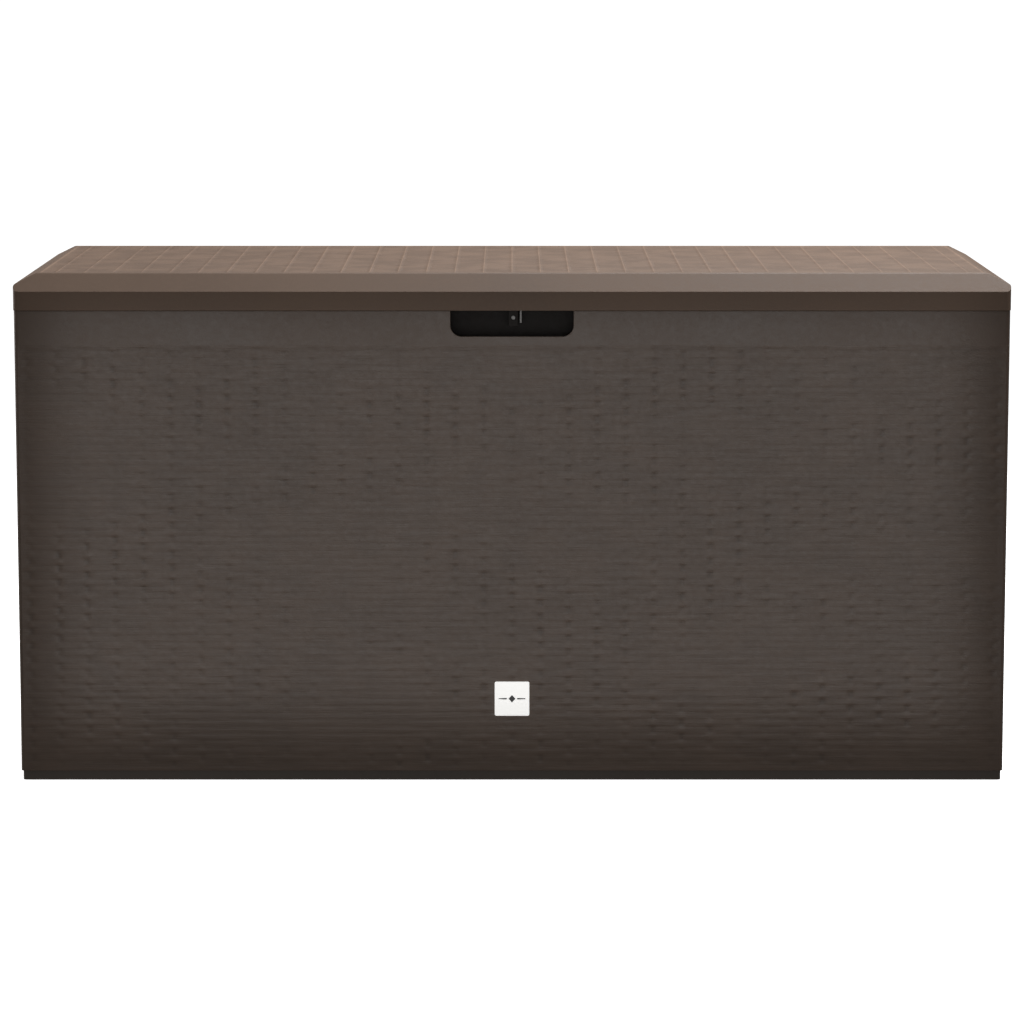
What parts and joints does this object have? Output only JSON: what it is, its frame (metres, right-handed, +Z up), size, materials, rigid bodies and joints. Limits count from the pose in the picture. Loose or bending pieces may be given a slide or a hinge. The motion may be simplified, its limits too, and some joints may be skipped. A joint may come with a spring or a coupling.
{
  "type": "deck storage box",
  "caption": "Long garden storage chest with woven-look plastic walls, a bevelled hinged lid held by sliding stays, a front hand notch with padlock ears, and a grip at each end.",
  "frame": {"origin": "centre of the footprint, on the ground", "axes": "+X along the length, to the right seen from the front; +Y from the front to the rear; +Z up"},
  "size_m": [1.14, 0.47, 0.588],
  "materials": {
    "wall_plastic": "moulded brown polypropylene, satin, woven relief on the fields",
    "lid_plastic": "moulded brown polypropylene, satin, woven relief on the plateau",
    "base_plastic": "darker moulded polypropylene",
    "inner_plastic": "dark inner mouldings",
    "hinge_metal": "brown powder coat",
    "steel": "zinc plated",
    "plaque": "gloss plastic with a plain printed ornament"
  },
  "bodies": {
    "box": {"front_panel": "wall_plastic", "front_top_rail": "wall_plastic", "back_panel": "wall_plastic", "left_end_panel": "wall_plastic", "left_end_top_rail": "wall_plastic", "right_end_panel": "wall_plastic", "right_end_top_rail": "wall_plastic", "front_base_rail": "base_plastic", "rear_base_rail": "base_plastic", "left_base_rail": "base_plastic", "right_base_rail": "base_plastic", "floor_panel": "base_plastic", "left_grip_cup": "inner_plastic", "left_front_corner_post": "inner_plastic", "left_rear_corner_post": "inner_plastic", "left_stay_track": "inner_plastic", "right_grip_cup": "inner_plastic", "right_front_corner_post": "inner_plastic", "right_rear_corner_post": "inner_plastic", "right_stay_track": "inner_plastic", "latch_pocket": "inner_plastic", "post_rivets": "inner_plastic", "padlock_blade": "steel", "left_hinge_body_leaf": "hinge_metal", "left_hinge_pin": "steel", "centre_hinge_body_leaf": "hinge_metal", "centre_hinge_pin": "steel", "right_hinge_body_leaf": "hinge_metal", "right_hinge_pin": "steel", "hinge_screws_body": "steel", "front_plaque": "plaque"},
    "lid": {"lid_shell": "lid_plastic", "lid_rib_frame": "lid_plastic", "padlock_lug": "inner_plastic", "padlock_stud": "steel", "hinge_screws_lid": "steel", "stay_bracket_screws": "steel", "left_hinge_lid_leaf": "hinge_metal", "centre_hinge_lid_leaf": "hinge_metal", "right_hinge_lid_leaf": "hinge_metal", "left_stay_bracket": "hinge_metal", "left_stay_pivot": "steel", "right_stay_bracket": "hinge_metal", "right_stay_pivot": "steel"},
    "left_stay": {"left_stay_arm": "hinge_metal"},
    "right_stay": {"right_stay_arm": "hinge_metal"}
  },
  "joints": [
    {"name": "lid_hinge", "type": "hinge", "parent": "box", "child": "lid", "pos_m": [0, 0.229, 0.54625], "axis": [-1, 0, 0], "range_deg": [0, 95]},
    {"name": "left_stay_pivot", "type": "hinge", "parent": "lid", "child": "left_stay", "pos_m": [-0.547, 0.119, 0.566], "axis": [-1, 0, 0], "range_deg": [-106.5, 0]},
    {"name": "right_stay_pivot", "type": "hinge", "parent": "lid", "child": "right_stay", "pos_m": [0.547, 0.119, 0.566], "axis": [-1, 0, 0], "range_deg": [-106.5, 0]}
  ],
  "couplings": [
    {"joint": "left_stay_pivot", "follows": "lid_hinge", "ratio": -1.12},
    {"joint": "right_stay_pivot", "follows": "lid_hinge", "ratio": -1.12}
  ]
}
